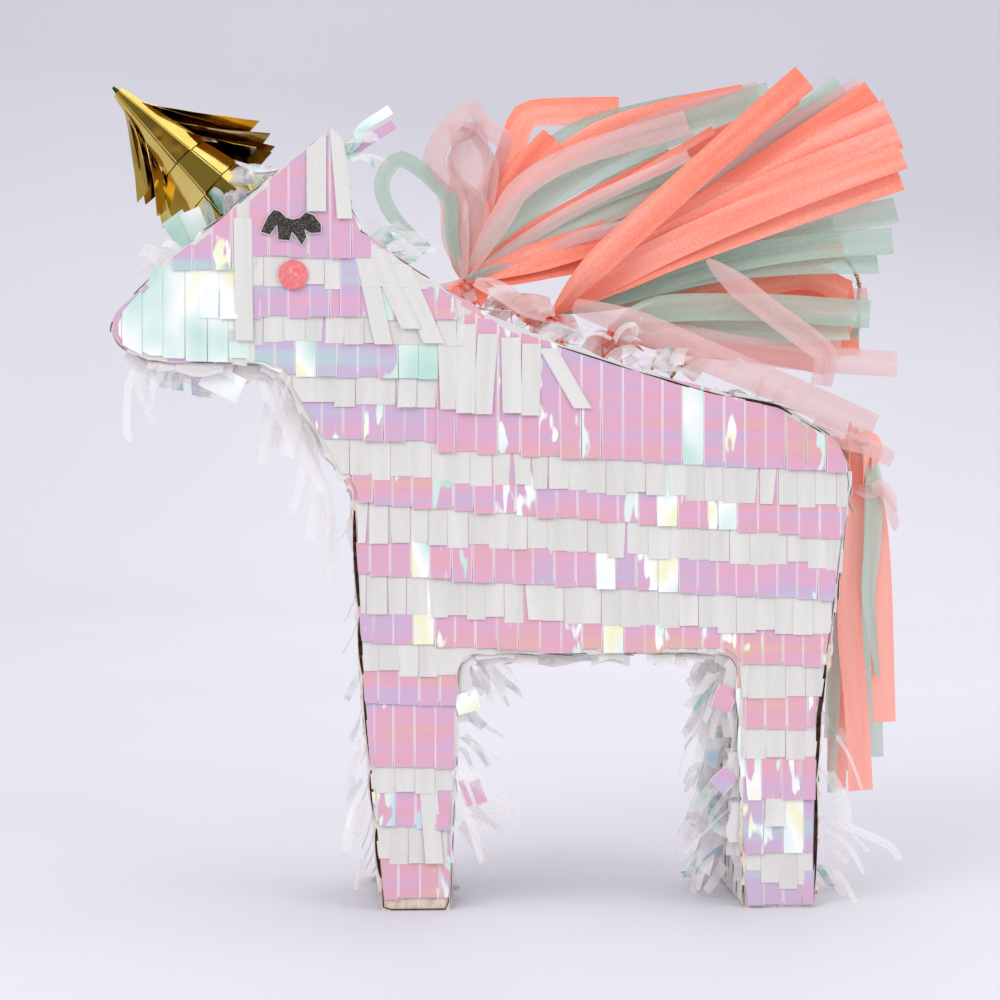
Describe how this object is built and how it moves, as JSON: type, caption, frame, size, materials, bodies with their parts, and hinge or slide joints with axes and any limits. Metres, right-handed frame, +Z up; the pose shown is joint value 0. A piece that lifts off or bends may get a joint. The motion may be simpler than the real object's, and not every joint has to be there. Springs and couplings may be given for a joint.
{
  "type": "pinata",
  "caption": "Small unicorn-shaped card pinata with fringed sides, foil horn, tissue mane and tail, a hinged filling hatch and a hanging loop.",
  "frame": {"origin": "on the floor under the middle of the object's length and thickness", "axes": "+X from nose to tail, +Z up, the body's thickness along Y"},
  "size_m": [0.1361, 0.0398, 0.1407],
  "materials": {
    "panel_card": "matt greyboard, 1 mm",
    "gusset_card": "matt card, 0.8 mm",
    "iridescent_film": "glossy pink iridescent film, cut into fringe",
    "white_tissue": "thin white tissue, cut into fringe",
    "black_glitter": "black glitter card",
    "coral_dot": "matt coral paper",
    "gold_foil": "gold foil, cut into fringe",
    "twisted_tissue": "tightly twisted tissue",
    "tissue_streamers": "tissue streamers in coral, mint and blush",
    "paper_seal": "plain white paper sticker",
    "gold_thread": "twisted metallic thread",
    "sweet_wrapper": "waxed paper round a boiled sweet"
  },
  "bodies": {
    "body": {"front_panel": "panel_card", "rear_panel": "panel_card", "crown_gusset": "gusset_card", "nape_gusset": "gusset_card", "back_gusset": "gusset_card", "rump_gusset": "gusset_card", "hind_sole": "gusset_card", "hind_leg_gusset": "gusset_card", "belly_gusset": "gusset_card", "fore_leg_gusset": "gusset_card", "fore_sole": "gusset_card", "chest_gusset": "gusset_card", "jaw_gusset": "gusset_card", "hatch_hinge_tape": "white_tissue", "front_film_fringe": "iridescent_film", "front_tissue_fringe": "white_tissue", "rear_film_fringe": "iridescent_film", "rear_tissue_fringe": "white_tissue", "nape_fringe": "white_tissue", "back_fringe": "white_tissue", "rump_fringe": "white_tissue", "hind_leg_fringe": "white_tissue", "belly_fringe": "white_tissue", "fore_leg_fringe": "white_tissue", "chest_fringe": "white_tissue", "jaw_fringe": "white_tissue", "front_lash": "black_glitter", "rear_lash": "black_glitter", "front_cheek": "coral_dot", "rear_cheek": "coral_dot", "horn_cone": "gusset_card", "horn_foil_upper": "gold_foil", "horn_foil_middle": "gold_foil", "horn_foil_lower": "gold_foil", "poll_binding": "twisted_tissue", "poll_tassel": "tissue_streamers", "withers_binding": "twisted_tissue", "withers_tassel": "tissue_streamers", "back_binding": "twisted_tissue", "back_tassel": "tissue_streamers", "tail_binding": "twisted_tissue", "hanging_loop": "gold_thread", "loop_knots": "gold_thread", "wrapped_sweets": "sweet_wrapper"},
    "hatch": {"hatch_flap": "gusset_card", "hatch_fringe": "white_tissue", "hatch_seal": "paper_seal"},
    "tail": {"tail_knot": "twisted_tissue", "tail_tassel": "tissue_streamers"}
  },
  "joints": [
    {"name": "hatch_hinge", "type": "hinge", "parent": "body", "child": "hatch", "pos_m": [0.02914, 0, 0.0425], "axis": [0, -1, 0], "range_deg": [0, 90]},
    {"name": "tail_swing", "type": "hinge", "parent": "body", "child": "tail", "pos_m": [0.06064, 0, 0.0775], "axis": [0, -1, 0], "range_deg": [0, 70]}
  ]
}
